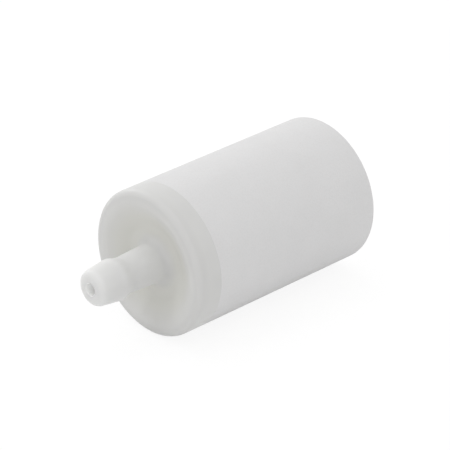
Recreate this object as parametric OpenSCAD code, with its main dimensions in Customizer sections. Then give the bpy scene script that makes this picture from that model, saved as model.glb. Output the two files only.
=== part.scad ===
// Plug-in pneumatic muffler: a moulded cap with a hose stem closes the front of a porous sleeve.
// Exhaust air enters the stem, spreads through a perforated tube and a packing, and seeps out of the sleeve.
// The axis is X, the stem points to -X and the cap's lip lies on x = 0.

/* [Body] */

// Outside diameter of the cap and the sleeve
body_d = 25; // [24:0.5:32]
// Length from the cap's lip to the rear face
body_len = 39.5; // [36:0.5:60]
// Wall of the porous sleeve
sleeve_wall = 3; // [2.6:0.1:3.2]
// Thickness of the porous disc that closes the rear
disc_t = 3.2; // [2.4:0.1:4]
// Width of the shoulder in the sleeve that the rear disc rests on
disc_shoulder = 1.4; // [0.8:0.1:1.6]
// Round on the sleeve's rear edge
rear_round = 0.5; // [0.2:0.1:0.9]
// Broken edge on each side of the line between cap and sleeve
seam_break = 0.05; // [0.05:0.05:0.2]

/* [Inlet cap] */

// Width of the cap's ring in front of the sleeve
ring_w = 4.6; // [4.2:0.1:6]
// Width of the lip around the dish
lip_w = 2.4; // [2.2:0.1:3.2]
// Diameter of the dish's flat floor
floor_d = 12.4; // [12:0.2:14.4]
// Depth of the dish below the lip
dish_depth = 2; // [1.6:0.1:3.2]
// Round at the dish's mouth and at the edge of its floor
dish_round = 3; // [1:0.1:3.2]
// Round on the outer edge of the lip
lip_round = 1.1; // [0.4:0.1:1.3]
// Thickness of the web that carries the stem
web_t = 2.2; // [1.8:0.1:3]
// Length of the spigot that enters the sleeve
spigot_len = 6; // [5:0.1:8]
// Wall of the spigot
spigot_wall = 1.6; // [1.2:0.1:1.8]
// Height of the snap bead on the spigot
bead_h = 0.3; // [0.15:0.05:0.4]
// Ribs between the spigot and the socket
rib_n = 6; // [3:1:8]
// Thickness of one rib
rib_t = 1.2; // [0.8:0.1:1.6]

/* [Hose stem] */

// Length of the stem in front of the lip
stem_len = 11.9; // [9:0.1:18]
// Diameter of the stem behind the barb
stem_d = 6; // [5.2:0.1:6.2]
// Diameter of the barb's crest
barb_d = 7; // [6.2:0.1:7.4]
// Diameter of the stem's tip
tip_d = 5.9; // [5.2:0.1:6.2]
// Length of the barb's lead-in, from the tip to the crest
barb_lead = 4.4; // [2:0.1:5]
// Width of the crest
barb_land = 0.6; // [0.4:0.1:1.2]
// Length of the slope from the crest back to the stem
barb_back = 1.6; // [0.2:0.1:2.4]
// Diameter of the stem at its root in the dish
root_d = 6.6; // [6.2:0.1:7]
// Round where the stem meets the dish's floor
root_round = 1.8; // [0.5:0.1:2]
// Round on the edge of the tip
tip_round = 1.1; // [0.2:0.1:1.2]
// Diameter of the air passage
bore_d = 2; // [1.8:0.1:3.2]

/* [Diffuser] */

// Outside diameter of the perforated tube
tube_d = 8; // [7.4:0.1:9]
// Wall of the perforated tube
tube_wall = 1; // [0.8:0.1:1.2]
// Depth of the socket that holds the tube in the cap
socket_depth = 4.5; // [3.5:0.1:5]
// Wall of the socket
socket_wall = 1.5; // [1.2:0.1:1.8]
// Diameter of one perforation
hole_d = 1.5; // [1:0.1:1.8]
// Perforations in one ring
hole_n = 6; // [4:1:8]
// Rings of perforations
hole_rows = 7; // [3:1:9]
// Thickness of the plug's flange
flange_t = 1.6; // [1:0.1:2.4]
// Length of the plug inside the tube
plug_len = 3; // [2:0.1:4]
// Diameter of the plug's locating pin
pin_d = 3; // [2.4:0.1:3.6]
// Depth of the locating hole in the rear disc
pin_depth = 1.8; // [1:0.1:1.9]
// Thickness of the inlet screen
screen_t = 0.4; // [0.3:0.05:0.6]
// Diameter of one opening in the inlet screen
mesh_d = 0.6; // [0.4:0.05:0.65]

/* [Packing] */

// Thickness of the felt wound on the tube
felt_t = 2; // [1.5:0.1:2.4]
// Thickness of the felt washers at both ends of the packing
washer_t = 2; // [1.5:0.1:3]
// Width of the butt seam along each wound layer
wrap_seam = 0.4; // [0.2:0.1:0.8]

/* [Fits] */

// Radial clearance of a push fit
push_fit = 0.05; // [0.03:0.01:0.1]
// Radial clearance around the soft packing
soft_fit = 0.1; // [0.05:0.05:0.3]

/* [Hidden] */

$fn = 96;

// Overlap that keeps joined shapes from only touching
over = 0.5;

body_r = body_d / 2;
sleeve_r = body_r - sleeve_wall;
rebate_r = sleeve_r + disc_shoulder;
disc_x = body_len - disc_t;
edge_round = 0.3;

mouth_r = body_r - lip_w;
floor_r = floor_d / 2;
slope = [mouth_r - floor_r, -dish_depth] / norm([mouth_r - floor_r, dish_depth]);
web_back = dish_depth + web_t;
spigot_r = sleeve_r - push_fit;
spigot_in_r = spigot_r - spigot_wall;
spigot_end = ring_w + spigot_len;
spigot_lead = 0.6;
bead_x = ring_w + 0.6 * spigot_len;
bead_r = 0.8;

stem_r = stem_d / 2;
barb_r = barb_d / 2;
tip_r = tip_d / 2;
root_r = root_d / 2;
bore_r = bore_d / 2;
crest_x = barb_lead - stem_len;
land_x = crest_x + barb_land;
slope_x = land_x + barb_back;

tube_r = tube_d / 2;
tube_in_r = tube_r - tube_wall;
socket_r = tube_r + push_fit;
boss_r = socket_r + socket_wall;
socket_end = web_back + socket_depth;
throat_depth = 0.8;
tube_x = web_back + screen_t;
pin_r = pin_d / 2;
pin_gap = 0.2;
plug_r = tube_in_r - push_fit;
plug_lead = 0.4;
shoulder_gap = 0.5;
flange_x = disc_x - shoulder_gap - flange_t;

pack_front = max(socket_end, spigot_end) + washer_t;
pack_back = disc_x - washer_t;
felt_in_r = tube_r + soft_fit;
felt_r = felt_in_r + felt_t;
roll_in_r = felt_r + soft_fit;
roll_r = sleeve_r - soft_fit;

hole_margin = 2;
hole_pitch = (pack_back - pack_front - 2 * hole_margin) / (hole_rows - 1);
mesh_pitch = mesh_d + 0.25;
mesh_rings = floor((tube_in_r - mesh_d / 2) / mesh_pitch);

cap_color = [0.86, 0.87, 0.84];
porous_color = [0.93, 0.93, 0.92];
tube_color = [0.8, 0.82, 0.82];
felt_color = [0.88, 0.87, 0.82];
roll_color = [0.78, 0.78, 0.74];
screen_color = [0.62, 0.63, 0.64];

// A solid of revolution about the X axis, from a profile drawn as [radius, station along X]
module turned() {
    rotate([0, 90, 0])
        rotate_extrude()
            children();
}

// Profile of a plain ring between two radii and two stations
module band(r_in, r_out, x_from, x_to) {
    translate([r_in, x_from])
        square([r_out - r_in, x_to - x_from]);
}

// Profile that rounds a corner: what lies between the corner and an arc of radius r
// side_r and side_x point from the arc's centre to the corner; cut it off an edge, or add it in a nook
module corner(at_r, at_x, r, side_r, side_x) {
    centre_r = at_r - side_r * r;
    centre_x = at_x - side_x * r;
    difference() {
        translate([side_r > 0 ? centre_r : at_r - over, side_x > 0 ? centre_x : at_x - over])
            square(r + over);
        translate([centre_r, centre_x])
            circle(r);
    }
}

// Profile that rounds a slanting corner in the same way, between sides that leave it along a and b
module slant_corner(at, a, b, r) {
    half = acos(a * b) / 2;
    centre = at + (a + b) / norm(a + b) * r / sin(half);
    reach = r / tan(half);
    stretch = 1 + over / r;
    difference() {
        polygon([for (p = [centre, at + a * reach, at, at + b * reach]) centre + (p - centre) * stretch]);
        translate(centre)
            circle(r);
    }
}

// Plain soft ring with a butt seam, as a strip wound into a tube
module wound_layer(r_in, r_out, x_from, x_to, seam_angle) {
    difference() {
        turned()
            band(r_in, r_out, x_from, x_to);
        rotate([seam_angle, 0, 0])
            translate([x_from - over, -wrap_seam / 2, r_in - over])
                cube([x_to - x_from + 2 * over, wrap_seam, r_out - r_in + 2 * over]);
    }
}

// Soft washer between the tube and the sleeve
module soft_washer(x_from) {
    turned()
        band(felt_in_r, roll_r, x_from, x_from + washer_t);
}

// Profile of the lip ring, the web and the spigot with its snap bead, before the dish is sunk into it
module shell_blank() {
    difference() {
        union() {
            band(spigot_in_r, body_r, 0, ring_w);
            band(bore_r, spigot_r, 0, web_back);
            band(spigot_in_r, spigot_r, web_back - over, spigot_end);
            translate([spigot_r + bead_h - bead_r, bead_x])
                circle(bead_r);
        }
        corner(body_r, 0, lip_round, 1, -1);
        corner(body_r, ring_w, seam_break, 1, 1);
        corner(spigot_r, spigot_end, spigot_lead, 1, 1);
    }
}

// Blank with the dish in its front
module cap_shell() {
    turned() {
        difference() {
            shell_blank();
            polygon([[0, -over], [mouth_r, -over], [mouth_r, 0], [floor_r, dish_depth], [0, dish_depth]]);
            slant_corner([mouth_r, 0], [1, 0], -slope, dish_round);
        }
        slant_corner([floor_r, dish_depth], slope, [-1, 0], dish_round);
    }
}

// Hose stem with one barb, and a rounded root on the dish's floor
module cap_stem() {
    turned()
        difference() {
            union() {
                polygon([
                    [bore_r, -stem_len],
                    [tip_r, -stem_len],
                    [tip_r, tip_round - stem_len],
                    [barb_r, crest_x],
                    [barb_r, land_x],
                    [stem_r, slope_x],
                    [root_r, dish_depth - root_round],
                    [root_r, web_back],
                    [bore_r, web_back]
                ]);
                corner(root_r, dish_depth, root_round, -1, 1);
            }
            corner(tip_r, -stem_len, tip_round, 1, -1);
        }
}

// Socket for the perforated tube on the back of the web, with ribs out to the spigot
module cap_socket() {
    turned()
        difference() {
            band(socket_r, boss_r, web_back - over, socket_end);
            corner(socket_r, socket_end, edge_round, -1, 1);
        }
    for (i = [0 : rib_n - 1])
        rotate([i * 360 / rib_n, 0, 0])
            translate([web_back - over, -rib_t / 2, boss_r - socket_wall / 2])
                cube([socket_depth / 2 + over, rib_t, spigot_in_r - boss_r + socket_wall]);
}

module inlet_cap() {
    color(cap_color)
        difference() {
            union() {
                cap_shell();
                cap_stem();
                cap_socket();
            }
            turned()
                band(0, bore_r, -stem_len - over, web_back + over);
            turned()
                band(0, tube_in_r, web_back - throat_depth, web_back + over);
        }
}

module porous_sleeve() {
    color(porous_color)
        turned()
            difference() {
                band(sleeve_r, body_r, ring_w, body_len);
                band(sleeve_r - over, rebate_r, disc_x, body_len + over);
                translate([spigot_r + bead_h - bead_r + push_fit, bead_x])
                    circle(bead_r);
                corner(sleeve_r, ring_w, edge_round, -1, -1);
                corner(body_r, ring_w, seam_break, 1, -1);
                corner(body_r, body_len, rear_round, 1, 1);
            }
}

module end_disc() {
    color(porous_color)
        turned()
            difference() {
                band(0, rebate_r - push_fit, disc_x, body_len);
                band(-over, pin_r + push_fit, disc_x - over, disc_x + pin_depth);
                corner(rebate_r - push_fit, disc_x, edge_round, 1, -1);
            }
}

// Drilled disc clamped between the socket's floor and the tube
module inlet_screen() {
    color(screen_color)
        difference() {
            turned()
                band(0, tube_r, web_back, tube_x);
            for (ring = [0 : mesh_rings])
                for (i = [0 : max(6 * ring, 1) - 1])
                    rotate([i * 360 / max(6 * ring, 1), 0, 0])
                        translate([web_back - over, 0, ring * mesh_pitch])
                            rotate([0, 90, 0])
                                cylinder(h = screen_t + 2 * over, d = mesh_d, $fn = 24);
        }
}

module diffuser_tube() {
    color(tube_color)
        difference() {
            turned()
                difference() {
                    band(tube_in_r, tube_r, tube_x, flange_x);
                    corner(tube_r, tube_x, edge_round, 1, -1);
                }
            for (row = [0 : hole_rows - 1])
                for (i = [0 : hole_n - 1])
                    rotate([(i + (row % 2) / 2) * 360 / hole_n, 0, 0])
                        translate([pack_front + hole_margin + row * hole_pitch, 0, 0])
                            cylinder(h = tube_r + over, d = hole_d, $fn = 32);
        }
}

// Stopper in the tube's far end, with a pin that centres it in the rear disc
module diffuser_plug() {
    color(tube_color)
        turned()
            difference() {
                union() {
                    band(0, plug_r, flange_x - plug_len, flange_x + flange_t / 2);
                    band(0, tube_r, flange_x, flange_x + flange_t);
                    band(0, pin_r, flange_x, disc_x + pin_depth - pin_gap);
                }
                corner(plug_r, flange_x - plug_len, plug_lead, 1, -1);
                corner(pin_r, disc_x + pin_depth - pin_gap, edge_round, 1, 1);
            }
}

module front_washer() {
    color(felt_color)
        soft_washer(pack_front - washer_t);
}

module felt_wrap() {
    color(felt_color)
        wound_layer(felt_in_r, felt_r, pack_front, pack_back, 0);
}

module packing_roll() {
    color(roll_color)
        wound_layer(roll_in_r, roll_r, pack_front, pack_back, 180);
}

module rear_washer() {
    color(felt_color)
        soft_washer(pack_back);
}

inlet_cap();
porous_sleeve();
end_disc();
inlet_screen();
diffuser_tube();
diffuser_plug();
front_washer();
felt_wrap();
packing_roll();
rear_washer();
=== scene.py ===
"""Pneumatic muffler: a moulded cap with a hose stem, a sintered sleeve, and the diffuser and packing inside.

Laid out as an add-on and run as a script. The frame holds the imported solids, and the pieces made here
stand for them.
"""

import math

import bmesh
import bpy
from mathutils import Matrix, Vector, noise


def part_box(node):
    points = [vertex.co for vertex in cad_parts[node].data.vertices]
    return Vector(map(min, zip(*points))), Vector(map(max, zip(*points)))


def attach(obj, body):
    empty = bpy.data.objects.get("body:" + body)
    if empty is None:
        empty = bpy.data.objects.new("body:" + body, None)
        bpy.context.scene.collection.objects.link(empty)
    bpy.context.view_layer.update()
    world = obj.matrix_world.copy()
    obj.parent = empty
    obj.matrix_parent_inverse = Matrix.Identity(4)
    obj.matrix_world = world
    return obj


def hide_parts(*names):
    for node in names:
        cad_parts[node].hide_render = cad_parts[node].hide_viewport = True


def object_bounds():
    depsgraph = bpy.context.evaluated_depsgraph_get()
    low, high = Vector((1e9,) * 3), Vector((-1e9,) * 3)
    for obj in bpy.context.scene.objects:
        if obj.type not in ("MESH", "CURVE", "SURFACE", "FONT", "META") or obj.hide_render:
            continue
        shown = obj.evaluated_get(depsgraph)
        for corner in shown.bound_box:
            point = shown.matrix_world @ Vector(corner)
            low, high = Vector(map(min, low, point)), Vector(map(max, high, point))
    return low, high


bl_info = {
    "name": "Pneumatic muffler",
    "version": (1, 0, 0),
    "blender": (4, 5, 0),
    "location": "View3D > Sidebar > Muffler",
    "description": "Builds a pneumatic muffler with a hose stem and the stage it is shown on",
    "category": "Add Mesh",
}

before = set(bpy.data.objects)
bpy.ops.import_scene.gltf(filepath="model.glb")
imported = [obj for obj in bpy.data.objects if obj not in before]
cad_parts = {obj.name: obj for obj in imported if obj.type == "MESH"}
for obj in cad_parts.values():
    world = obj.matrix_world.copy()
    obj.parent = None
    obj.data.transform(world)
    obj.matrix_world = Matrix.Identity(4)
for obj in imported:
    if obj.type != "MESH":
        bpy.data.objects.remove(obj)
cad_low, cad_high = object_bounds()

MM = 0.001
BODY = "root"

sleeve_low, sleeve_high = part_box("porous_sleeve")
cap_low, cap_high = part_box("inlet_cap")
disc_low, disc_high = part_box("end_disc")
tube_low, tube_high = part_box("diffuser_tube")
plug_low, plug_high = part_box("diffuser_plug")
felt_low, felt_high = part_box("felt_wrap")
roll_low, roll_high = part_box("packing_roll")
front_washer_low, front_washer_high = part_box("front_washer")
rear_washer_low, rear_washer_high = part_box("rear_washer")

# Rounds on the edges of the hard pieces, from the crispest to the softest
HAIR_EDGE = 0.05 * MM
CRISP_EDGE = 0.1 * MM
BORE_EDGE = 0.12 * MM
CLEAN_EDGE = 0.15 * MM
SMALL_EDGE = 0.2 * MM
BLUNT_EDGE = 0.3 * MM
PLUG_LEAD = 0.4 * MM
SPIGOT_LEAD = 0.6 * MM

# Gaps and overlaps between the pieces
SOFT_FIT = 0.1 * MM  # between felt or packing and what it is wound on
THROAT_DEPTH = 0.8 * MM  # wide end of the air passage, in front of the tube
PIN_GAP = 0.2 * MM  # between the stopper's pin and the bottom of its hole
FLANGE_GAP = 0.5 * MM  # between the stopper's flange and the rear disc
ROW_MARGIN = 2.0 * MM  # from each end of the felt to the nearest ring of holes
RIB_ROOT = 0.5 * MM  # how far a rib runs into the web, the socket and the spigot
DRILL_OVERRUN = 0.5 * MM  # how far a drill stands out of the tube
BEAD_SHARE = 0.6  # the snap bead's place along the spigot, as a share of its length

# Felt and packing
FELT_ROUND = 0.35 * MM  # round on each edge
FELT_SPACING = 0.8 * MM  # between points along the section
FELT_DIP = 0.05 * MM  # middle depth of the dips in the skin
FELT_DIP_WIDTH = 0.9 * MM
FELT_SEGMENTS = 120  # steps round the axis
FELT_SHARP = 50.0  # degrees above which an edge stays sharp
FELT_FIBRE = 0.06 * MM  # width of one strand
PACKING_FIBRE = 0.12 * MM

# Fineness of the hard pieces' meshes
TUBE_SEGMENTS = 96  # steps round the tube, fewer than elsewhere because it is drilled
DRILL_SEGMENTS = 32  # steps round one hole
WELD = 0.002 * MM  # distance within which points become one
ARC_STEP = math.radians(10.0)  # longest step along a rounded corner
STRAIGHT = math.radians(178.0)  # a corner that is more open than this has no round
HARD_SHARP = 32.0  # degrees above which an edge stays sharp

# Where the cap's colour and scattering change, with painted shade in the dish and on the lip's edge and
# painted light on the stem and in the bore: the two ends of each fade, as radii round the axis or stations
# along it
DISH_RADII = (8.0 * MM, 11.0 * MM)
DISH_STATIONS = (-1.5 * MM, 1.5 * MM)
LIP_RADII = (10.7 * MM, 11.5 * MM)
LIP_STATIONS = (0.8 * MM, 2.2 * MM)
STEM_RADII = (3.6 * MM, 5.0 * MM)
BORE_RADII = (1.02 * MM, 1.2 * MM)
SEAM_STATIONS = (sleeve_low.x - 1.4 * MM, sleeve_low.x - 0.3 * MM)

# Second colours of the materials, some of them painted shade or painted light
CAP_SPECKS = (0.68, 0.68, 0.64)
# Painted light: a lighter colour for the bore's wall, against the shade inside the hole
BORE_PAINTED_LIGHT = (0.89, 0.89, 0.88)
# Painted shade: the colour of the pores between the sinter's grains
PORE_PAINTED_SHADE = (0.52, 0.52, 0.51)
TUBE_CLOUDS = (0.58, 0.6, 0.59)
SCREEN_STAINS = (0.42, 0.42, 0.41)
# Painted shade: colours of the hollows between the fibres of the felt and the packing
FELT_PAINTED_SHADE = (0.5, 0.48, 0.42)
PACKING_PAINTED_SHADE = (0.36, 0.36, 0.33)
WHITE = (1.0, 1.0, 1.0, 1.0)
# Painted shade: the lip's outer edge is darker in colour, to damp its bright rim
LIP_PAINTED_SHADE = 0.955  # share of its own lightness that the cap's plastic keeps on the lip's edge

# Each lamp's name, place and diameter in metres. Its power is the stage's property of the same name.
LAMPS = (
    ("softbox", (-0.05, 0.1, 0.6), 0.5),
    ("key", (-0.45, 0.1, 0.4), 0.15),
    ("side", (0.1, 0.6, 0.3), 0.4),
    ("fill", (-0.4, -0.4, 0.25), 0.4),
)

FLOOR_HALF = 3.0  # half the floor's width, in metres
FLOOR_WHITE = 1.01  # level of the floor where nothing shades it
FLOOR_LIT = 0.9  # level that the light gives a floor of pure white
SENSOR_WIDTH = 36.0  # in millimetres
CLIP_START = 0.01  # nearest that the camera sees, in metres
CLIP_END = 20.0  # farthest that the camera sees, in metres


# ---------------------------------------------------------------- properties


def length_property(name, description, millimetres):
    """A size in metres, whose default is given in millimetres."""
    return bpy.props.FloatProperty(
        name=name,
        description=description,
        default=millimetres * MM,
        min=0.0,
        precision=5,
        unit="LENGTH",
        subtype="DISTANCE",
    )


def count_property(name, description, count, **limits):
    """A number of things."""
    return bpy.props.IntProperty(name=name, description=description, default=count, **limits)


def angle_property(name, description, degrees):
    """An angle, whose default is given in degrees."""
    return bpy.props.FloatProperty(
        name=name, description=description, default=math.radians(degrees), subtype="ANGLE"
    )


def level_property(name, description, level, **limits):
    """A level of light or shade that can't be less than nothing."""
    return bpy.props.FloatProperty(name=name, description=description, default=level, min=0.0, **limits)


def colour_property(name, description, colour):
    """A linear base colour."""
    return bpy.props.FloatVectorProperty(
        name=name, description=description, default=colour, size=3, min=0.0, max=1.0, subtype="COLOR"
    )


class MufflerSizes(bpy.types.PropertyGroup):
    """Sizes of the moulded and turned shapes that the frame's boxes don't give."""

    segments: count_property("Segments", "Steps round the axis of each turned piece", 192, min=24, max=360)
    lip_round: length_property("Lip round", "Round on the lip's outer edge", 1.1)
    dish_radius: length_property("Dish radius", "Radius of the dish's mouth, at the lip", 10.1)
    dish_floor_radius: length_property("Dish floor radius", "Radius of the dish's flat floor", 6.2)
    dish_depth: length_property("Dish depth", "Depth of the dish below the lip", 2.0)
    dish_round: length_property("Dish round", "Round at the dish's mouth and floor", 3.0)
    web_thickness: length_property("Web thickness", "Thickness of the web that carries the stem", 2.2)
    tip_radius: length_property("Tip radius", "Radius of the stem's tip", 2.95)
    tip_round: length_property("Tip round", "Round on the edge of the tip", 1.1)
    barb_radius: length_property("Barb radius", "Radius of the barb's crest", 3.5)
    barb_lead: length_property("Barb lead", "Length from the tip to the barb's crest", 4.4)
    barb_land: length_property("Barb land", "Width of the barb's crest", 0.6)
    barb_back: length_property("Barb back", "Length of the slope behind the crest", 1.6)
    barb_round: length_property("Barb round", "Round on the edges of the crest", 2.0)
    stem_radius: length_property("Stem radius", "Radius of the stem behind the barb", 3.0)
    root_radius: length_property("Root radius", "Radius of the stem at the dish's floor", 3.3)
    root_round: length_property("Root round", "Round where the stem meets the dish's floor", 1.8)
    bore_radius: length_property("Bore radius", "Radius of the air passage in the stem", 1.0)
    spigot_length: length_property("Spigot length", "Length of the spigot inside the sleeve", 6.0)
    spigot_wall: length_property("Spigot wall", "Wall of the spigot", 1.6)
    bead_height: length_property("Bead height", "Height of the spigot's snap bead", 0.3)
    bead_radius: length_property("Bead radius", "Radius of the snap bead's section", 0.8)
    socket_depth: length_property("Socket depth", "Depth of the tube's socket behind the web", 4.5)
    socket_wall: length_property("Socket wall", "Wall of the socket", 1.5)
    sleeve_wall: length_property("Sleeve wall", "Wall of the porous sleeve", 3.0)
    rear_round: length_property("Rear round", "Round on the sleeve's rear edge", 0.5)
    seam_break: length_property("Seam break", "Broken edges along the line between cap and sleeve", 0.05)
    tube_wall: length_property("Tube wall", "Wall of the perforated tube", 1.0)
    hole_diameter: length_property("Hole diameter", "Diameter of one perforation", 1.5)
    hole_count: count_property("Holes", "Perforations in one ring", 6, min=3)
    hole_rows: count_property("Rows", "Rings of perforations", 7, min=2)
    rib_count: count_property("Ribs", "Ribs behind the web", 6, min=0)
    rib_thickness: length_property("Rib thickness", "Thickness of one rib", 1.2)
    pin_radius: length_property("Pin radius", "Radius of the stopper's locating pin", 1.5)
    pin_hole_depth: length_property("Pin hole depth", "Depth of the pin's hole in the rear disc", 1.8)
    push_fit: length_property("Push fit", "Radial clearance of a push fit", 0.05)
    wrap_seam: length_property("Wrap seam", "Width of the butt seam in a wound layer", 0.4)


class MufflerFinishes(bpy.types.PropertyGroup):
    """Colours of the muffler's materials, with the dish's painted shade and the stem's painted glow."""

    natural_plastic: colour_property("Natural plastic", "Milky plastic of the cap", (0.684, 0.682, 0.673))
    # Painted shade: a yellower tint for the cap's colour in the dish, not a plastic of its own
    dish_painted_shade: colour_property("Dish plastic", "Milky plastic before a hollow", (0.686, 0.683, 0.645))
    # Painted light: the stem's lighter colour stands for the light that passes through it, a painted glow
    stem_painted_glow: colour_property("Stem plastic", "Milky plastic of the thin stem", (0.712, 0.711, 0.705))
    sintered_plastic: colour_property("Sintered plastic", "White porous plastic", (0.752, 0.748, 0.749))
    tube_plastic: colour_property("Tube plastic", "Plastic of the perforated tube", (0.66, 0.68, 0.68))
    felt: colour_property("Felt", "Fibres of the felt", (0.72, 0.7, 0.63))
    packing: colour_property("Packing", "Fibres of the packing roll", (0.6, 0.6, 0.56))
    screen_metal: colour_property("Screen metal", "Metal of the inlet screen", (0.56, 0.57, 0.58))


class MufflerStage(bpy.types.PropertyGroup):
    """Camera, light and floor."""

    azimuth: angle_property("Azimuth", "Camera's bearing round the muffler", -43.45)
    elevation: angle_property("Elevation", "Camera's height above the horizon", 27.9)
    distance: length_property("Distance", "From the camera to the point it looks at", 440.6)
    lens: bpy.props.FloatProperty(
        name="Lens", description="Focal length", default=216.0, subtype="DISTANCE_CAMERA"
    )
    aim: bpy.props.FloatVectorProperty(
        name="Aim",
        description="Point that the camera looks at",
        default=(17.08 * MM, -0.12 * MM, 1.02 * MM),
        size=3,
        subtype="TRANSLATION",
    )
    sky: level_property("Sky", "Level of the light from all round", 0.765)
    softbox: level_property("Softbox", "Power of the lamp overhead", 0.5, unit="POWER")
    key: level_property("Key", "Power of the small lamp in front of the stem", 0.17, unit="POWER")
    side: level_property("Side", "Power of the lamp on the muffler's +Y side", 0.65, unit="POWER")
    fill: level_property("Fill", "Power of the lamp on the camera's side", 0.12, unit="POWER")
    floor: colour_property("Floor", "Colour of the floor as the muffler sees it", (0.9, 0.9, 0.9))
    shadow: level_property("Shadow", "How deep the shadow on the floor is", 0.15, max=1.0)


# ---------------------------------------------------------------- node helpers


class Tree:
    """Adds and links the nodes of one shader or geometry tree."""

    def __init__(self, tree):
        self.tree = tree

    def add(self, kind, inputs=None, **settings):
        """A new node. A value given for an input is either a socket to link or a constant."""
        node = self.tree.nodes.new(kind)
        for key, value in settings.items():
            setattr(node, key, value)
        for key, value in (inputs or {}).items():
            self.feed(node.inputs[key], value)
        return node

    def feed(self, socket, value):
        """Links a socket to another, or sets its constant."""
        if isinstance(value, bpy.types.NodeSocket):
            self.tree.links.new(value, socket)
        else:
            socket.default_value = value

    def maths(self, operation, first, second=0.0):
        """A maths node's result."""
        node = self.add("ShaderNodeMath", {0: first, 1: second}, operation=operation)
        return node.outputs[0]


def new_geometry_tree(name, inputs):
    """A geometry tree with named inputs, and its group input and output nodes."""
    group = bpy.data.node_groups.new(name, "GeometryNodeTree")
    for label, kind in inputs:
        group.interface.new_socket(label, in_out="INPUT", socket_type=kind)
    group.interface.new_socket("Geometry", in_out="OUTPUT", socket_type="NodeSocketGeometry")
    tree = Tree(group)
    return tree, tree.add("NodeGroupInput"), tree.add("NodeGroupOutput")


def finish_tree(tree, given, result, geometry):
    """Ends a geometry tree: instances become real and take the finish."""
    real = tree.add("GeometryNodeRealizeInstances", {"Geometry": geometry})
    finished = tree.add(
        "GeometryNodeSetMaterial", {"Geometry": real.outputs[0], "Material": given.outputs["Finish"]}
    )
    tree.feed(result.inputs["Geometry"], finished.outputs[0])


def turned_nodes(tree, outline, segments):
    """Nodes that turn an outline, a ring of vertices at (station, radius, 0), about the X axis."""
    count = tree.add("GeometryNodeAttributeDomainSize", {"Geometry": outline}, component="MESH")
    across = tree.maths("ADD", count.outputs["Point Count"], 1.0)
    round_axis = tree.maths("ADD", segments, 1.0)
    sheet = tree.add(
        "GeometryNodeMeshGrid",
        {"Size X": 1.0, "Size Y": 1.0, "Vertices X": round_axis, "Vertices Y": across},
    )
    index = tree.add("GeometryNodeInputIndex").outputs[0]
    step = tree.maths("FLOOR", tree.maths("DIVIDE", tree.maths("ADD", index, 0.5), across))
    rank = tree.maths("SUBTRACT", index, tree.maths("MULTIPLY", step, across))
    corner = tree.maths("MODULO", rank, count.outputs["Point Count"])
    position = tree.add("GeometryNodeInputPosition").outputs[0]
    sample = tree.add(
        "GeometryNodeSampleIndex",
        {"Geometry": outline, "Value": position, "Index": corner},
        data_type="FLOAT_VECTOR",
        domain="POINT",
    )
    split = tree.add("ShaderNodeSeparateXYZ", {0: sample.outputs[0]})
    angle = tree.maths("DIVIDE", tree.maths("MULTIPLY", step, 2.0 * math.pi), segments)
    sideways = tree.maths("MULTIPLY", split.outputs["Y"], tree.maths("COSINE", angle))
    upwards = tree.maths("MULTIPLY", split.outputs["Y"], tree.maths("SINE", angle))
    place = tree.add("ShaderNodeCombineXYZ", {"X": split.outputs["X"], "Y": sideways, "Z": upwards})
    moved = tree.add(
        "GeometryNodeSetPosition", {"Geometry": sheet.outputs["Mesh"], "Position": place.outputs[0]}
    )
    welded = tree.add("GeometryNodeMergeByDistance", {"Geometry": moved.outputs[0], "Distance": WELD})
    return welded.outputs[0]


def ring_of_copies(tree, shape, count, radius, station, turn):
    """Copies of a shape on a ring about the X axis, each turned so that its own Y points outwards."""
    index = tree.add("GeometryNodeInputIndex").outputs[0]
    share = tree.maths("DIVIDE", tree.maths("MULTIPLY", index, 2.0 * math.pi), count)
    angle = tree.maths("ADD", share, turn)
    sideways = tree.maths("MULTIPLY", radius, tree.maths("COSINE", angle))
    upwards = tree.maths("MULTIPLY", radius, tree.maths("SINE", angle))
    place = tree.add("ShaderNodeCombineXYZ", {"X": station, "Y": sideways, "Z": upwards})
    points = tree.add("GeometryNodePoints", {"Count": count, "Position": place.outputs[0]})
    lean = tree.add("ShaderNodeCombineXYZ", {"X": angle})
    turned = tree.add("FunctionNodeEulerToRotation", {"Euler": lean.outputs[0]})
    return tree.add(
        "GeometryNodeInstanceOnPoints",
        {"Points": points.outputs[0], "Instance": shape, "Rotation": turned.outputs[0]},
    ).outputs[0]


def turned_tree():
    """Tree for a plain turned piece."""
    tree, given, result = new_geometry_tree(
        "Turned piece",
        (
            ("Geometry", "NodeSocketGeometry"),
            ("Segments", "NodeSocketInt"),
            ("Finish", "NodeSocketMaterial"),
        ),
    )
    shape = turned_nodes(tree, given.outputs["Geometry"], given.outputs["Segments"])
    finish_tree(tree, given, result, shape)
    return tree.tree


def ribbed_tree():
    """Tree for a turned moulding with a ring of ribs joined to it."""
    tree, given, result = new_geometry_tree(
        "Ribbed moulding",
        (
            ("Geometry", "NodeSocketGeometry"),
            ("Segments", "NodeSocketInt"),
            ("Rib Count", "NodeSocketInt"),
            ("Rib Size", "NodeSocketVector"),
            ("Rib Radius", "NodeSocketFloat"),
            ("Rib Station", "NodeSocketFloat"),
            ("Finish", "NodeSocketMaterial"),
        ),
    )
    body = turned_nodes(tree, given.outputs["Geometry"], given.outputs["Segments"])
    rib = tree.add("GeometryNodeMeshCube", {"Size": given.outputs["Rib Size"]})
    ribs = ring_of_copies(
        tree,
        rib.outputs["Mesh"],
        given.outputs["Rib Count"],
        given.outputs["Rib Radius"],
        given.outputs["Rib Station"],
        math.pi / 2.0,
    )
    real_ribs = tree.add("GeometryNodeRealizeInstances", {"Geometry": ribs})
    joined = tree.add("GeometryNodeMeshBoolean", operation="UNION", solver="EXACT")
    tree.feed(joined.inputs["Mesh 2"], body)
    tree.feed(joined.inputs["Mesh 2"], real_ribs.outputs[0])
    finish_tree(tree, given, result, joined.outputs["Mesh"])
    return tree.tree


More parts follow.
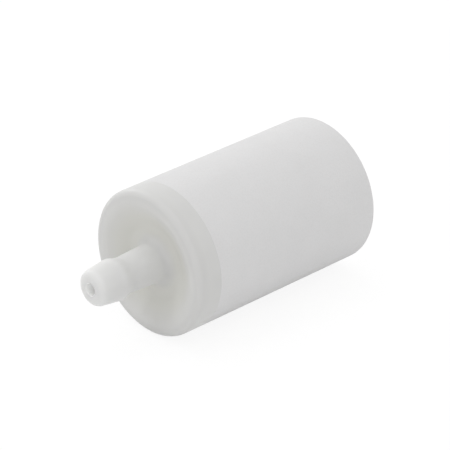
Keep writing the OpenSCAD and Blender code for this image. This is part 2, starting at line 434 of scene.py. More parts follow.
def perforated_tree():
    """Tree for a turned tube with staggered rings of perforations."""
    tree, given, result = new_geometry_tree(
        "Perforated tube",
        (
            ("Geometry", "NodeSocketGeometry"),
            ("Segments", "NodeSocketInt"),
            ("Holes", "NodeSocketInt"),
            ("Rows", "NodeSocketInt"),
            ("Hole Radius", "NodeSocketFloat"),
            ("First Row", "NodeSocketFloat"),
            ("Row Pitch", "NodeSocketFloat"),
            ("Depth", "NodeSocketFloat"),
            ("Finish", "NodeSocketMaterial"),
        ),
    )
    body = turned_nodes(tree, given.outputs["Geometry"], given.outputs["Segments"])
    drill = tree.add(
        "GeometryNodeMeshCylinder",
        {
            "Vertices": DRILL_SEGMENTS,
            "Radius": given.outputs["Hole Radius"],
            "Depth": given.outputs["Depth"],
        },
    )
    lie_down = tree.add(
        "GeometryNodeTransform", {"Geometry": drill.outputs["Mesh"], "Rotation": (math.pi / 2.0, 0.0, 0.0)}
    )
    index = tree.add("GeometryNodeInputIndex").outputs[0]
    holes = given.outputs["Holes"]
    row = tree.maths("FLOOR", tree.maths("DIVIDE", tree.maths("ADD", index, 0.5), holes))
    stagger = tree.maths("MULTIPLY", tree.maths("MODULO", row, 2.0), 0.5)
    turns = tree.maths("DIVIDE", tree.maths("ADD", index, stagger), holes)
    angle = tree.maths("ADD", tree.maths("MULTIPLY", turns, 2.0 * math.pi), math.pi / 2.0)
    from_first = tree.maths("MULTIPLY", row, given.outputs["Row Pitch"])
    station = tree.maths("ADD", from_first, given.outputs["First Row"])
    reach = tree.maths("MULTIPLY", given.outputs["Depth"], 0.5)
    place = tree.add(
        "ShaderNodeCombineXYZ",
        {
            "X": station,
            "Y": tree.maths("MULTIPLY", reach, tree.maths("COSINE", angle)),
            "Z": tree.maths("MULTIPLY", reach, tree.maths("SINE", angle)),
        },
    )
    number = tree.maths("MULTIPLY", given.outputs["Rows"], holes)
    points = tree.add("GeometryNodePoints", {"Count": number, "Position": place.outputs[0]})
    lean = tree.add("ShaderNodeCombineXYZ", {"X": angle})
    turned = tree.add("FunctionNodeEulerToRotation", {"Euler": lean.outputs[0]})
    drills = tree.add(
        "GeometryNodeInstanceOnPoints",
        {"Points": points.outputs[0], "Instance": lie_down.outputs[0], "Rotation": turned.outputs[0]},
    )
    real_drills = tree.add("GeometryNodeRealizeInstances", {"Geometry": drills.outputs[0]})
    drilled = tree.add("GeometryNodeMeshBoolean", {"Mesh 1": body}, operation="DIFFERENCE", solver="EXACT")
    tree.feed(drilled.inputs["Mesh 2"], real_drills.outputs[0])
    finish_tree(tree, given, result, drilled.outputs["Mesh"])
    return tree.tree


# ---------------------------------------------------------------- mesh helpers


def rounded_outline(corners):
    """Closed outline through (station, radius, round) corners, each corner eased by an arc of its round."""
    points = []
    for number, (station, radius, ease) in enumerate(corners):
        here = Vector((station, radius))
        before = Vector(corners[number - 1][:2]) - here
        after = Vector(corners[(number + 1) % len(corners)][:2]) - here
        opening = before.angle(after)
        if ease <= 0.0 or opening > STRAIGHT:
            points.append(here)
            continue
        before.normalize()
        after.normalize()
        tangent = ease / math.tan(opening / 2.0)
        centre = here + (before + after).normalized() * ease / math.sin(opening / 2.0)
        first = here + before * tangent - centre
        last = here + after * tangent - centre
        sweep = first.angle_signed(last)
        steps = max(2, math.ceil(abs(sweep) / ARC_STEP))
        for step in range(steps + 1):
            points.append(centre + Matrix.Rotation(-sweep * step / steps, 2) @ first)
    return points


def bead_corners(station, radius, centre_radius, bead, steps=8):
    """Corners of a round bead whose section's centre lies inside the surface at the given radius."""
    half = math.acos((radius - centre_radius) / bead)
    corners = []
    for step in range(steps + 1):
        angle = -half + 2.0 * half * step / steps
        corners.append((station + bead * math.sin(angle), centre_radius + bead * math.cos(angle), 0.0))
    return corners


def outline_mesh(name, points):
    """A ring of vertices at (station, radius, 0), walked so that the turned faces point outwards."""
    area = sum(a.x * b.y - b.x * a.y for a, b in zip(points, points[1:] + points[:1])) / 2.0
    ordered = points if area < 0.0 else points[::-1]
    mesh = bpy.data.meshes.new(name)
    count = len(ordered)
    edges = [(i, (i + 1) % count) for i in range(count)]
    mesh.from_pydata([(p.x, p.y, 0.0) for p in ordered], edges, [])
    return mesh


def enclosed_volume(mesh):
    """Signed volume of a closed mesh, positive when its faces point outwards."""
    work = bmesh.new()
    work.from_mesh(mesh)
    volume = work.calc_volume(signed=True)
    work.free()
    return volume


def new_piece(name, mesh):
    """An object at the origin that shows a mesh."""
    piece = bpy.data.objects.new(name, mesh)
    bpy.context.scene.collection.objects.link(piece)
    return piece


def smooth_mesh(mesh, sharp_above=HARD_SHARP):
    """Smooth shading with sharp edges where faces meet at more than an angle in degrees."""
    mesh.shade_smooth()
    mesh.set_sharp_from_angle(angle=math.radians(sharp_above))


def one_finish(mesh, finish):
    """Takes stray edges off a made mesh and leaves it a single material."""
    work = bmesh.new()
    work.from_mesh(mesh)
    stray = [edge for edge in work.edges if not edge.link_faces]
    bmesh.ops.delete(work, geom=stray, context="EDGES")
    for face in work.faces:
        face.material_index = 0
    work.to_mesh(mesh)
    work.free()
    mesh.materials.clear()
    mesh.materials.append(finish)


def run_tree(name, mesh, tree, values):
    """A piece whose mesh is a geometry tree's result for a starting mesh."""
    piece = new_piece(name, mesh)
    modifier = piece.modifiers.new(tree.name, "NODES")
    modifier.node_group = tree
    for item in tree.interface.items_tree:
        if item.in_out == "INPUT" and item.name in values:
            modifier[item.identifier] = values[item.name]
    made = bpy.data.meshes.new_from_object(piece.evaluated_get(bpy.context.evaluated_depsgraph_get()))
    piece.modifiers.remove(modifier)
    piece.data = made
    made.name = name
    bpy.data.meshes.remove(mesh)
    one_finish(made, values["Finish"])
    if len(made.polygons) == 0:
        raise RuntimeError(f"{name} came out empty")
    if enclosed_volume(made) <= 0.0:
        raise RuntimeError(f"{name} is inside out")
    smooth_mesh(made)
    return piece


def settle(piece, slot, *nodes):
    """Ties a finished piece to the frame."""
    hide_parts(*nodes)
    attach(piece, BODY)


def turned_piece(name, corners, finish, sizes):
    """A plain turned piece from its outline's corners."""
    values = {"Segments": sizes.segments, "Finish": finish}
    return run_tree(name, outline_mesh(name, rounded_outline(corners)), turned_tree(), values)


# ---------------------------------------------------------------- materials


def emptied_tree(owner):
    """The node tree of a new material or world, with nothing in it."""
    owner.use_nodes = True
    owner.node_tree.nodes.clear()
    return Tree(owner.node_tree)


def new_material(name):
    """A node material with a plain Principled shader, as (material, tree, shader)."""
    material = bpy.data.materials.new(name)
    tree = emptied_tree(material)
    shader = tree.add("ShaderNodeBsdfPrincipled")
    output = tree.add("ShaderNodeOutputMaterial")
    tree.feed(output.inputs["Surface"], shader.outputs[0])
    return material, tree, shader


def object_point(tree):
    """Position on the piece, in metres."""
    return tree.add("ShaderNodeTexCoord").outputs["Object"]


def grain(tree, point, size, detail=2.0, roughness=0.5):
    """Noise whose features are about a given size in metres across."""
    inputs = {"Vector": point, "Scale": 1.0 / size, "Detail": detail, "Roughness": roughness}
    return tree.add("ShaderNodeTexNoise", inputs).outputs["Fac"]


def scaled(tree, vector, amount):
    """A vector or a colour times an amount."""
    return tree.add("ShaderNodeVectorMath", {0: vector, "Scale": amount}, operation="SCALE").outputs[0]


def stirred(tree, point, size, detail, reach):
    """Position moved about by noise whose features are about a given size in metres across."""
    stir = tree.add("ShaderNodeTexNoise", {"Vector": point, "Scale": 1.0 / size, "Detail": detail})
    shift = scaled(tree, stir.outputs["Color"], reach)
    return tree.add("ShaderNodeVectorMath", {0: point, 1: shift}, operation="ADD").outputs[0]


def drawn_out(tree, point, scale):
    """Position scaled by axis, which draws a pattern out along the axis with the least scale."""
    return tree.add("ShaderNodeMapping", {"Vector": point, "Scale": scale}, vector_type="POINT").outputs[0]


def between(tree, value, low, high, to_low, to_high):
    """A value moved from one range to another."""
    inputs = {"Value": value, "From Min": low, "From Max": high, "To Min": to_low, "To Max": to_high}
    return tree.add("ShaderNodeMapRange", inputs).outputs["Result"]


def tinted(tree, amount, colour, low, high):
    """A colour made darker or lighter by an amount from 0 to 1."""
    return scaled(tree, tuple(colour), between(tree, amount, 0.0, 1.0, low, high))


def blended(tree, amount, first, second):
    """A mix of two colours."""
    mix = tree.add("ShaderNodeMix", {"Factor": amount}, data_type="RGBA")
    tree.feed(mix.inputs[6], first if isinstance(first, bpy.types.NodeSocket) else (*first, 1.0))
    tree.feed(mix.inputs[7], second if isinstance(second, bpy.types.NodeSocket) else (*second, 1.0))
    return mix.outputs[2]


def bumped(tree, height, distance, strength, under=None):
    """A bump from a height, over another bump if one is given."""
    inputs = {"Height": height, "Distance": distance, "Strength": strength}
    if under is not None:
        inputs["Normal"] = under
    return tree.add("ShaderNodeBump", inputs).outputs[0]


def turning_marks(tree, point, pitch):
    """Fine rings round the axis, as a turned mould leaves them."""
    wobble = grain(tree, point, 9.0 * MM, detail=1.0)
    wave = tree.add(
        "ShaderNodeTexWave",
        {"Vector": point, "Scale": math.pi / (10.0 * pitch), "Distortion": 0.0, "Detail": 0.0},
        wave_type="RINGS",
        rings_direction="X",
    )
    return tree.maths("MULTIPLY", wave.outputs["Fac"], wobble)


def axis_place(tree, point):
    """How far along the axis a point is, and how far out from it."""
    split = tree.add("ShaderNodeSeparateXYZ", {0: point})
    across = tree.maths("POWER", split.outputs["Y"], 2.0)
    upwards = tree.maths("POWER", split.outputs["Z"], 2.0)
    return split.outputs["X"], tree.maths("SQRT", tree.maths("ADD", across, upwards))


def natural_plastic_material(colour, dish_shade_colour, stem_glow_colour):
    """Milky natural plastic of the cap: light passes a little way in, over a satin moulded skin.

    In the dish the colour takes a yellower tint, painted shade that stands for the hollow behind the web
    taking the light that passes. On the lip's front edge the colour is a little darker, painted shade. The
    thin stem passes more light, and its colour is lighter, a painted glow; the bore's wall is lighter still,
    painted light. Along the seam the sleeve's white face throws the light back, so none passes there.
    """
    material, tree, shader = new_material("milky_cap_plastic")
    point = object_point(tree)
    clouds = grain(tree, point, 7.0 * MM, detail=3.0)
    specks = grain(tree, point, 0.5 * MM, detail=2.0)
    cloudy = tinted(tree, clouds, colour, 0.95, 1.05)
    speckled = blended(tree, between(tree, specks, 0.35, 0.75, 0.0, 0.12), cloudy, CAP_SPECKS)
    station, radius = axis_place(tree, point)
    # Painted shade: the dish's tint, inside the lip and deeper than its front
    inside_lip = between(tree, radius, *DISH_RADII, 1.0, 0.0)
    below_lip = between(tree, station, *DISH_STATIONS, 0.0, 1.0)
    deep = tree.maths("MULTIPLY", inside_lip, below_lip)
    # Painted shade: a darker colour on the lip's outer edge
    outer = between(tree, radius, *LIP_RADII, 0.0, 1.0)
    front = between(tree, station, *LIP_STATIONS, 1.0, 0.0)
    lip_shade_colour = tuple(LIP_PAINTED_SHADE * level for level in colour)
    lip_shaded = blended(tree, tree.maths("MULTIPLY", outer, front), speckled, lip_shade_colour)
    dish_shaded = blended(tree, deep, lip_shaded, tuple(dish_shade_colour))
    # Painted light: a lighter colour on the thin stem, a painted glow; the same share also sets how much
    # light passes
    thin = between(tree, radius, *STEM_RADII, 1.0, 0.0)
    # Painted light: the bore's wall lighter still
    bore_light_share = between(tree, radius, *BORE_RADII, 1.0, 0.0)
    stem_glowing = blended(tree, thin, dish_shaded, tuple(stem_glow_colour))
    tree.feed(shader.inputs["Base Color"], blended(tree, bore_light_share, stem_glowing, BORE_PAINTED_LIGHT))
    tree.feed(shader.inputs["Roughness"], between(tree, clouds, 0.3, 0.7, 0.36, 0.46))
    skin = bumped(tree, grain(tree, point, 0.35 * MM, detail=3.0), 0.012 * MM, 0.5)
    marks = bumped(tree, turning_marks(tree, point, 0.16 * MM), 0.004 * MM, 0.4, skin)
    waves = bumped(tree, grain(tree, point, 4.0 * MM, detail=1.0), 0.05 * MM, 0.5, marks)
    tree.feed(shader.inputs["Normal"], waves)
    shader.subsurface_method = "RANDOM_WALK"
    passed = between(tree, thin, 0.0, 1.0, 0.4, 1.0)
    clear_of_seam = between(tree, station, *SEAM_STATIONS, 1.0, 0.0)
    tree.feed(shader.inputs["Subsurface Weight"], tree.maths("MULTIPLY", passed, clear_of_seam))
    shader.inputs["Subsurface Radius"].default_value = (1.0, 1.0, 0.97)
    tree.feed(shader.inputs["Subsurface Scale"], between(tree, thin, 0.0, 1.0, 2.2 * MM, 3.2 * MM))
    shader.inputs["IOR"].default_value = 1.5
    shader.inputs["Specular IOR Level"].default_value = 0.4
    return material


def sintered_plastic_material(colour):
    """Matt white plastic of fused grains, with fine open pores between them, darkened a little with painted
    shade.
    """
    material, tree, shader = new_material("white_sinter")
    point = object_point(tree)
    place = stirred(tree, point, 0.6 * MM, 1.0, 0.08 * MM)
    beads = tree.add(
        "ShaderNodeTexVoronoi",
        {"Vector": place, "Scale": 1.0 / (0.26 * MM), "Smoothness": 0.35},
        feature="SMOOTH_F1",
    ).outputs["Distance"]
    powder = tree.add("ShaderNodeTexVoronoi", {"Vector": place, "Scale": 1.0 / (0.11 * MM)}, feature="F1")
    dome = tree.maths("SUBTRACT", 1.0, tree.maths("MULTIPLY", beads, 1.4))
    pores = between(tree, beads, 0.42, 0.75, 0.0, 1.0)
    mottle = grain(tree, point, 5.0 * MM, detail=3.0)
    body = tinted(tree, mottle, colour, 0.975, 1.025)
    # Painted shade: the pores between the grains are a little darker in colour
    pores_shaded = blended(tree, tree.maths("MULTIPLY", pores, 0.06), body, PORE_PAINTED_SHADE)
    tree.feed(shader.inputs["Base Color"], pores_shaded)
    tree.feed(shader.inputs["Roughness"], between(tree, pores, 0.0, 1.0, 0.72, 0.95))
    fine = bumped(tree, powder.outputs["Distance"], 0.01 * MM, 0.3)
    coarse = bumped(tree, dome, 0.03 * MM, 0.2, fine)
    tree.feed(shader.inputs["Normal"], coarse)
    shader.subsurface_method = "RANDOM_WALK"
    shader.inputs["Subsurface Weight"].default_value = 0.2
    shader.inputs["Subsurface Radius"].default_value = (1.0, 0.98, 0.94)
    shader.inputs["Subsurface Scale"].default_value = 0.4 * MM
    shader.inputs["IOR"].default_value = 1.45
    shader.inputs["Specular IOR Level"].default_value = 0.25
    return material


def tube_plastic_material(colour):
    """Plain moulded plastic of the perforated tube, with a drawn surface."""
    material, tree, shader = new_material("drawn_tube_plastic")
    point = object_point(tree)
    streaks = grain(tree, drawn_out(tree, point, (0.12, 1.0, 1.0)), 0.4 * MM, detail=3.0)
    clouds = grain(tree, point, 5.0 * MM, detail=2.0)
    streaked = tinted(tree, streaks, colour, 0.92, 1.06)
    cloudy = blended(tree, between(tree, clouds, 0.4, 0.8, 0.0, 0.3), streaked, TUBE_CLOUDS)
    tree.feed(shader.inputs["Base Color"], cloudy)
    tree.feed(shader.inputs["Roughness"], between(tree, streaks, 0.3, 0.7, 0.34, 0.5))
    tree.feed(shader.inputs["Normal"], bumped(tree, streaks, 0.015 * MM, 0.4))
    shader.inputs["Subsurface Weight"].default_value = 0.4
    shader.inputs["Subsurface Scale"].default_value = 0.8 * MM
    shader.inputs["IOR"].default_value = 1.49
    return material


def fibre_material(name, colour, shade, fibre):
    """Matted fibres, with strands lighter than the hollows between them, whose darker colour is painted
    shade.
    """
    material, tree, shader = new_material(name)
    point = object_point(tree)
    bent = stirred(tree, point, 6.0 * fibre, 2.0, 5.0 * fibre)
    strands = []
    for stretch in ((0.12, 1.0, 1.0), (1.0, 0.12, 1.0), (1.0, 1.0, 0.12)):
        strands.append(grain(tree, drawn_out(tree, bent, stretch), fibre, detail=2.0, roughness=0.6))
    height = tree.maths("MAXIMUM", tree.maths("MAXIMUM", strands[0], strands[1]), strands[2])
    clumps = grain(tree, point, 12.0 * fibre, detail=2.0)
    # Painted shade: the hollows between the strands are darker, and random clumps take the same colour
    strand_colour = blended(tree, between(tree, height, 0.45, 0.75, 0.0, 1.0), shade, tuple(colour))
    clump = between(tree, clumps, 0.35, 0.75, 0.0, 0.25)
    tree.feed(shader.inputs["Base Color"], blended(tree, clump, strand_colour, shade))
    tree.feed(shader.inputs["Roughness"], between(tree, height, 0.4, 0.8, 1.0, 0.85))
    tree.feed(shader.inputs["Normal"], bumped(tree, height, fibre, 0.8))
    shader.inputs["Sheen Weight"].default_value = 0.35
    shader.inputs["Sheen Roughness"].default_value = 0.6
    shader.inputs["Specular IOR Level"].default_value = 0.2
    return material


def screen_metal_material(colour):
    """Thin rolled metal with fine scratches and a few darker stains."""
    material, tree, shader = new_material("rolled_screen")
    point = object_point(tree)
    rolled = grain(tree, drawn_out(tree, point, (1.0, 1.0, 0.08)), 0.12 * MM, detail=3.0)
    stains = grain(tree, point, 1.5 * MM, detail=3.0)
    bright = tinted(tree, rolled, colour, 0.85, 1.1)
    stained = blended(tree, between(tree, stains, 0.5, 0.8, 0.0, 0.5), bright, SCREEN_STAINS)
    tree.feed(shader.inputs["Base Color"], stained)
    tree.feed(shader.inputs["Roughness"], between(tree, rolled, 0.3, 0.7, 0.22, 0.42))
    tree.feed(shader.inputs["Normal"], bumped(tree, rolled, 0.004 * MM, 0.5))
    shader.inputs["Metallic"].default_value = 1.0
    return material


def seen(tree):
    """1 for a ray from the eye, off a gloss or through something clear, and 0 for one that only lights."""
    path = tree.add("ShaderNodeLightPath")
    reflected = tree.maths("MAXIMUM", path.outputs["Is Camera Ray"], path.outputs["Is Glossy Ray"])
    return tree.maths("MAXIMUM", reflected, path.outputs["Is Transmission Ray"])


def floor_shader(tree, surface_colour, shadow):
    """Shader that is a plain surface to the muffler, and close to white with a faint shadow where seen."""
    plain = tree.add("ShaderNodeBsdfDiffuse", {"Color": (*surface_colour, 1.0)})
    shaded = tree.add("ShaderNodeBsdfDiffuse", {"Color": (shadow, shadow, shadow, 1.0)})
    glow = FLOOR_WHITE - FLOOR_LIT * shadow
    white = tree.add("ShaderNodeEmission", {"Color": WHITE, "Strength": glow})
    both = tree.add("ShaderNodeAddShader", {0: shaded.outputs[0], 1: white.outputs[0]})
    mix = tree.add("ShaderNodeMixShader", {0: seen(tree), 1: plain.outputs[0], 2: both.outputs[0]})
    return mix.outputs[0]


# ---------------------------------------------------------------- shapes


def cap_corners(sizes):
    """Section of the cap: stem, dish, lip ring, spigot with its bead, and the tube's socket."""
    body_radius = cap_high.z
    ring_back = sleeve_low.x
    web_back = sizes.dish_depth + sizes.web_thickness
    tip = cap_low.x
    crest = tip + sizes.barb_lead
    land_end = crest + sizes.barb_land
    slope_end = land_end + sizes.barb_back
    slope_round = 2.0 * sizes.barb_round
    spigot_radius = body_radius - sizes.sleeve_wall - sizes.push_fit
    spigot_bore = spigot_radius - sizes.spigot_wall
    spigot_end = ring_back + sizes.spigot_length
    bead_station = ring_back + BEAD_SHARE * sizes.spigot_length
    bead_centre = spigot_radius + sizes.bead_height - sizes.bead_radius
    tube_radius = tube_high.z
    tube_bore = tube_radius - sizes.tube_wall
    socket_radius = tube_radius + sizes.push_fit
    boss_radius = socket_radius + sizes.socket_wall
    socket_end = web_back + sizes.socket_depth
    throat = web_back - THROAT_DEPTH
    return [
        (tip, sizes.bore_radius, BORE_EDGE),
        (tip, sizes.tip_radius, sizes.tip_round),
        (crest, sizes.barb_radius, sizes.barb_round),
        (land_end, sizes.barb_radius, sizes.barb_round),
        (slope_end, sizes.stem_radius, slope_round),
        (sizes.dish_depth - sizes.root_round, sizes.root_radius, 0.0),
        (sizes.dish_depth, sizes.root_radius, sizes.root_round),
        (sizes.dish_depth, sizes.dish_floor_radius, sizes.dish_round),
        (0.0, sizes.dish_radius, sizes.dish_round),
        (0.0, body_radius, sizes.lip_round),
        (ring_back, body_radius, sizes.seam_break),
        (ring_back, spigot_radius, 0.0),
        *bead_corners(bead_station, spigot_radius, bead_centre, sizes.bead_radius),
        (spigot_end, spigot_radius, SPIGOT_LEAD),
        (spigot_end, spigot_bore, SMALL_EDGE),
        (web_back, spigot_bore, BLUNT_EDGE),
        (web_back, boss_radius, BLUNT_EDGE),
        (socket_end, boss_radius, SMALL_EDGE),
        (socket_end, socket_radius, BLUNT_EDGE),
        (web_back, socket_radius, 0.0),
        (web_back, tube_bore, 0.0),
        (throat, tube_bore, 0.0),
        (throat, sizes.bore_radius, 0.0),
    ]


def sleeve_corners(sizes):
    """Section of the sleeve, with the groove for the cap's bead and the seat of the rear disc."""
    bore = sleeve_high.z - sizes.sleeve_wall
    spigot_radius = bore - sizes.push_fit
    groove_centre = spigot_radius + sizes.bead_height - sizes.bead_radius + sizes.push_fit
    groove_station = sleeve_low.x + BEAD_SHARE * sizes.spigot_length
    groove = bead_corners(groove_station, bore, groove_centre, sizes.bead_radius)
    seat = disc_high.z + sizes.push_fit
    return [
        (sleeve_low.x, bore, BLUNT_EDGE),
        (sleeve_low.x, sleeve_high.z, sizes.seam_break),
        (sleeve_high.x, sleeve_high.z, sizes.rear_round),
        (sleeve_high.x, seat, CRISP_EDGE),
        (disc_low.x, seat, 0.0),
        (disc_low.x, bore, 0.0),
        *reversed(groove),
    ]


def disc_corners(sizes):
    """Section of the rear disc, with the blind hole for the plug's pin."""
    hole = sizes.pin_radius + sizes.push_fit
    hole_end = disc_low.x + sizes.pin_hole_depth
    return [
        (disc_low.x, hole, CRISP_EDGE),
        (disc_low.x, disc_high.z, BLUNT_EDGE),
        (disc_high.x, disc_high.z, CLEAN_EDGE),
        (disc_high.x, 0.0, 0.0),
        (hole_end, 0.0, 0.0),
        (hole_end, hole, 0.0),
    ]


def plug_corners(sizes):
    """Section of the stopper in the tube's far end, with its flange and locating pin."""
    shank = tube_high.z - sizes.tube_wall - sizes.push_fit
    flange_back = plug_high.x - sizes.pin_hole_depth + PIN_GAP - FLANGE_GAP
    return [
        (plug_low.x, 0.0, 0.0),
        (plug_low.x, shank, PLUG_LEAD),
        (tube_high.x, shank, 0.0),
        (tube_high.x, plug_high.z, CRISP_EDGE),
        (flange_back, plug_high.z, CLEAN_EDGE),
        (flange_back, sizes.pin_radius, 0.0),
        (plug_high.x, sizes.pin_radius, BLUNT_EDGE),
        (plug_high.x, 0.0, 0.0),
    ]


def tube_corners(sizes):
    """Section of the diffuser tube's wall."""
    bore = tube_high.z - sizes.tube_wall
    return [
        (tube_low.x, bore, CRISP_EDGE),
        (tube_low.x, tube_high.z, BLUNT_EDGE),
        (tube_high.x, tube_high.z, HAIR_EDGE),
        (tube_high.x, bore, HAIR_EDGE),
    ]


def soft_ring(name, bore, low, high, finish, seam=0.0, seam_angle=0.0):
    """A ring of felt or fibre with eased edges and an uneven skin, split along a butt seam if wound."""
    sides = ((low.x, bore), (low.x, high.z), (high.x, high.z), (high.x, bore))
    corners = [(station, radius, FELT_ROUND) for station, radius in sides]
    section = [(p.x, p.y) for p in rounded_outline(subdivided(corners, FELT_SPACING))]
    middle = ((low.x + high.x) / 2.0, (bore + high.z) / 2.0)
    steps = FELT_SEGMENTS
    gap = 0.5 * seam / high.z
    work = bmesh.new()
    rings = []
    for step in range(steps + 1 if seam else steps):
        angle = seam_angle + gap + (2.0 * math.pi - 2.0 * gap) * step / steps
        ring = []
        for station, radius in section:
            place = Vector((station, radius * math.cos(angle), radius * math.sin(angle)))
            sunk = FELT_DIP * (1.0 + noise.noise(place / FELT_DIP_WIDTH))
            inwards = Vector((middle[0] - station, 0.0, 0.0)).normalized() * sunk
            radial = sunk if radius < middle[1] else -sunk
            place += inwards + Vector((0.0, math.cos(angle), math.sin(angle))) * radial
            ring.append(work.verts.new(place))
        rings.append(ring)
    count = len(section)
    following = rings[1:] if seam else rings[1:] + rings[:1]
    for ring, other in zip(rings, following):
        for i in range(count):
            work.faces.new((ring[i], ring[(i + 1) % count], other[(i + 1) % count], other[i]))
    if seam:
        work.faces.new(list(reversed(rings[0])))
        work.faces.new(rings[-1])
    bmesh.ops.recalc_face_normals(work, faces=work.faces)
    mesh = bpy.data.meshes.new(name)
    work.to_mesh(mesh)
    work.free()
    mesh.materials.append(finish)
    smooth_mesh(mesh, FELT_SHARP)
    if enclosed_volume(mesh) <= 0.0:
        raise RuntimeError(f"{name} is inside out")
    return new_piece(name, mesh)


def subdivided(corners, spacing):
    """An outline's corners with plain points added along its sides."""
    result = []
    for number, (station, radius, ease) in enumerate(corners):
        next_station, next_radius, _ = corners[(number + 1) % len(corners)]
        along = next_station - station
        out = next_radius - radius
        length = math.hypot(along, out)
        steps = max(1, int(length / spacing))
        result.append((station, radius, ease))
        for step in range(1, steps):
            share = step / steps
            if ease < share * length < length - ease:
                result.append((station + along * share, radius + out * share, 0.0))
    return result


# ---------------------------------------------------------------- operators


class MUFFLER_OT_stage(bpy.types.Operator):
    """Make the floor, the light and the camera"""

    bl_idname = "muffler.stage"
    bl_label = "Stage"

    def execute(self, context):
        """Makes the floor, the light from all round, the lamps and the camera."""
        scene = context.scene
        stage = scene.muffler_stage
        scene.view_settings.view_transform = "Standard"
        self.make_floor(stage)
        self.make_light(scene, stage)
        self.make_camera(scene, stage)
        return {"FINISHED"}

    def make_floor(self, stage):
        """A wide plain floor under the muffler."""
        mesh = bpy.data.meshes.new("floor")
        signs = ((-1, -1), (1, -1), (1, 1), (-1, 1))
        corners = [(FLOOR_HALF * x, FLOOR_HALF * y, cad_low.z) for x, y in signs]
        mesh.from_pydata(corners, [], [(0, 1, 2, 3)])
        floor = new_piece("floor", mesh)
        material = bpy.data.materials.new("floor")
        tree = emptied_tree(material)
        output = tree.add("ShaderNodeOutputMaterial")
        tree.feed(output.inputs["Surface"], floor_shader(tree, stage.floor, stage.shadow))
        mesh.materials.append(material)

    def make_light(self, scene, stage):
        """An even sky, white where it is seen, and the lamps."""
        world = bpy.data.worlds.new("studio")
        scene.world = world
        tree = emptied_tree(world)
        sky = tree.add("ShaderNodeBackground", {"Color": WHITE, "Strength": stage.sky})
        white = tree.add("ShaderNodeBackground", {"Color": WHITE, "Strength": 1.0})
        mix = tree.add("ShaderNodeMixShader", {0: seen(tree), 1: sky.outputs[0], 2: white.outputs[0]})
        output = tree.add("ShaderNodeOutputWorld")
        tree.feed(output.inputs["Surface"], mix.outputs[0])
        for name, place, size in LAMPS:
            self.make_lamp(scene, name, place, size, getattr(stage, name))

    def make_lamp(self, scene, name, place, size, power):
        """A round area lamp aimed at the muffler."""
        lamp = bpy.data.lights.new(name, "AREA")
        lamp.shape = "DISK"
        lamp.size = size
        lamp.energy = power
        holder = bpy.data.objects.new(name, lamp)
        holder.location = place
        holder.rotation_mode = "QUATERNION"
        holder.rotation_quaternion = (-Vector(place)).to_track_quat("-Z", "Y")
        scene.collection.objects.link(holder)

    def make_camera(self, scene, stage):
        """The camera, level with the horizon and aimed at the muffler's middle."""
        lens = bpy.data.cameras.new("camera")
        lens.lens = stage.lens
        lens.sensor_width = SENSOR_WIDTH
        lens.clip_start = CLIP_START
        lens.clip_end = CLIP_END
        camera = bpy.data.objects.new("camera", lens)
        back = Vector(
            (
                math.sin(stage.azimuth) * math.cos(stage.elevation),
                -math.cos(stage.azimuth) * math.cos(stage.elevation),
                math.sin(stage.elevation),
            )
        )
        camera.location = Vector(stage.aim) + back * stage.distance
        camera.rotation_mode = "QUATERNION"
        camera.rotation_quaternion = (-back).to_track_quat("-Z", "Y")
        scene.collection.objects.link(camera)
        scene.camera = camera


class MUFFLER_OT_cap(bpy.types.Operator):
    """Make the moulded cap with its hose stem"""

    bl_idname = "muffler.cap"
    bl_label = "Inlet cap"

    def execute(self, context):
        """Turns the cap's section and joins the ribs behind its web."""
        sizes = context.scene.muffler_sizes
        finishes = context.scene.muffler_finishes
        finish = natural_plastic_material(
            finishes.natural_plastic, finishes.dish_painted_shade, finishes.stem_painted_glow
        )
        web_back = sizes.dish_depth + sizes.web_thickness
        boss_radius = tube_high.z + sizes.push_fit + sizes.socket_wall
        spigot_bore = cap_high.z - sizes.sleeve_wall - sizes.push_fit - sizes.spigot_wall
        rib_length = sizes.socket_depth / 2.0
        rib_height = spigot_bore - boss_radius + 2.0 * RIB_ROOT
        values = {
            "Segments": sizes.segments,
            "Rib Count": sizes.rib_count,
            "Rib Size": (rib_length + RIB_ROOT, rib_height, sizes.rib_thickness),
            "Rib Radius": (spigot_bore + boss_radius) / 2.0,
            "Rib Station": web_back + rib_length / 2.0 - RIB_ROOT / 2.0,
            "Finish": finish,
        }
        outline = outline_mesh("cap_moulding", rounded_outline(cap_corners(sizes)))
        cap = run_tree("cap_moulding", outline, ribbed_tree(), values)
        settle(cap, "natural_plastic", "inlet_cap")
        return {"FINISHED"}


class MUFFLER_OT_sintered(bpy.types.Operator):
    """Make the porous sleeve and the disc that closes it"""

    bl_idname = "muffler.sintered"
    bl_label = "Porous sleeve and disc"

    def execute(self, context):
        """Turns the sleeve and the rear disc."""
        sizes = context.scene.muffler_sizes
        finish = sintered_plastic_material(context.scene.muffler_finishes.sintered_plastic)
        sleeve = turned_piece("sintered_sleeve", sleeve_corners(sizes), finish, sizes)
        settle(sleeve, "porous_plastic", "porous_sleeve")
        disc = turned_piece("sintered_disc", disc_corners(sizes), finish, sizes)
        settle(disc, "porous_plastic", "end_disc")
        return {"FINISHED"}


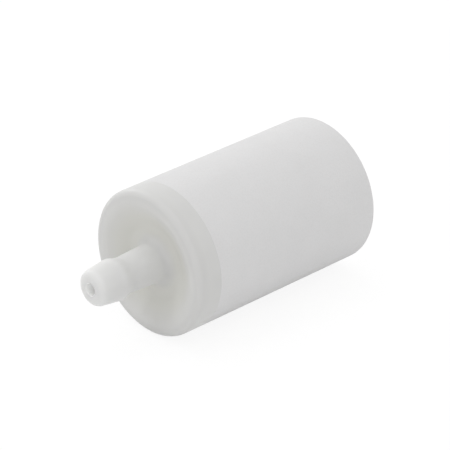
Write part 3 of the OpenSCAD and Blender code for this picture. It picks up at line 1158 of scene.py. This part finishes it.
class MUFFLER_OT_diffuser(bpy.types.Operator):
    """Make the perforated tube and its stopper, and finish the inlet screen"""

    bl_idname = "muffler.diffuser"
    bl_label = "Diffuser"

    def execute(self, context):
        """Turns and drills the tube, turns the stopper and gives the screen its metal."""
        sizes = context.scene.muffler_sizes
        finishes = context.scene.muffler_finishes
        finish = tube_plastic_material(finishes.tube_plastic)
        drilled_length = felt_high.x - felt_low.x - 2.0 * ROW_MARGIN
        values = {
            "Segments": TUBE_SEGMENTS,
            "Holes": sizes.hole_count,
            "Rows": sizes.hole_rows,
            "Hole Radius": sizes.hole_diameter / 2.0,
            "First Row": felt_low.x + ROW_MARGIN,
            "Row Pitch": drilled_length / (sizes.hole_rows - 1),
            "Depth": tube_high.z + DRILL_OVERRUN,
            "Finish": finish,
        }
        outline = outline_mesh("perforated_tube", rounded_outline(tube_corners(sizes)))
        tube = run_tree("perforated_tube", outline, perforated_tree(), values)
        settle(tube, "tube_plastic", "diffuser_tube")
        plug = turned_piece("tube_stopper", plug_corners(sizes), finish, sizes)
        settle(plug, "tube_plastic", "diffuser_plug")
        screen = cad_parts["inlet_screen"]
        screen.material_slots[0].material = screen_metal_material(finishes.screen_metal)
        return {"FINISHED"}


class MUFFLER_OT_packing(bpy.types.Operator):
    """Make the felt, the packing roll and the washers"""

    bl_idname = "muffler.packing"
    bl_label = "Packing"

    def execute(self, context):
        """Winds the felt and the packing roll and cuts the two washers."""
        sizes = context.scene.muffler_sizes
        finishes = context.scene.muffler_finishes
        felt = fibre_material("wound_felt", finishes.felt, FELT_PAINTED_SHADE, FELT_FIBRE)
        packing = fibre_material("open_packing", finishes.packing, PACKING_PAINTED_SHADE, PACKING_FIBRE)
        felt_bore = tube_high.z + SOFT_FIT
        roll_bore = felt_high.z + SOFT_FIT
        seam = sizes.wrap_seam
        top = math.pi / 2.0
        wrap = soft_ring("felt_winding", felt_bore, felt_low, felt_high, felt, seam, top)
        settle(wrap, "felt", "felt_wrap")
        roll = soft_ring("fibre_roll", roll_bore, roll_low, roll_high, packing, seam, -top)
        settle(roll, "packing", "packing_roll")
        front = soft_ring("front_felt_washer", felt_bore, front_washer_low, front_washer_high, felt)
        settle(front, "felt", "front_washer")
        rear = soft_ring("rear_felt_washer", felt_bore, rear_washer_low, rear_washer_high, felt)
        settle(rear, "felt", "rear_washer")
        return {"FINISHED"}


class MUFFLER_PT_panel(bpy.types.Panel):
    """Lists the muffler's pieces and settings"""

    bl_label = "Pneumatic muffler"
    bl_idname = "MUFFLER_PT_panel"
    bl_space_type = "VIEW_3D"
    bl_region_type = "UI"
    bl_category = "Muffler"

    def draw(self, context):
        """Draws a button for each piece and the properties under them."""
        for operator in OPERATORS:
            self.layout.operator(operator.bl_idname)
        scene = context.scene
        for group in (scene.muffler_sizes, scene.muffler_finishes, scene.muffler_stage):
            box = self.layout.box()
            for name in group.__annotations__:
                box.prop(group, name)


OPERATORS = (MUFFLER_OT_stage, MUFFLER_OT_cap, MUFFLER_OT_sintered, MUFFLER_OT_diffuser, MUFFLER_OT_packing)
CLASSES = (MufflerSizes, MufflerFinishes, MufflerStage, *OPERATORS, MUFFLER_PT_panel)


def register():
    """Registers the classes and hangs the settings on the scene."""
    for cls in CLASSES:
        bpy.utils.register_class(cls)
    bpy.types.Scene.muffler_sizes = bpy.props.PointerProperty(type=MufflerSizes)
    bpy.types.Scene.muffler_finishes = bpy.props.PointerProperty(type=MufflerFinishes)
    bpy.types.Scene.muffler_stage = bpy.props.PointerProperty(type=MufflerStage)


def unregister():
    """Takes the settings off the scene and the classes out."""
    del bpy.types.Scene.muffler_stage
    del bpy.types.Scene.muffler_finishes
    del bpy.types.Scene.muffler_sizes
    for cls in reversed(CLASSES):
        bpy.utils.unregister_class(cls)


def main():
    """Builds the muffler and its stage."""
    register()
    bpy.ops.muffler.stage()
    bpy.ops.muffler.cap()
    bpy.ops.muffler.sintered()
    bpy.ops.muffler.diffuser()
    bpy.ops.muffler.packing()


if __name__ == "__main__":
    main()
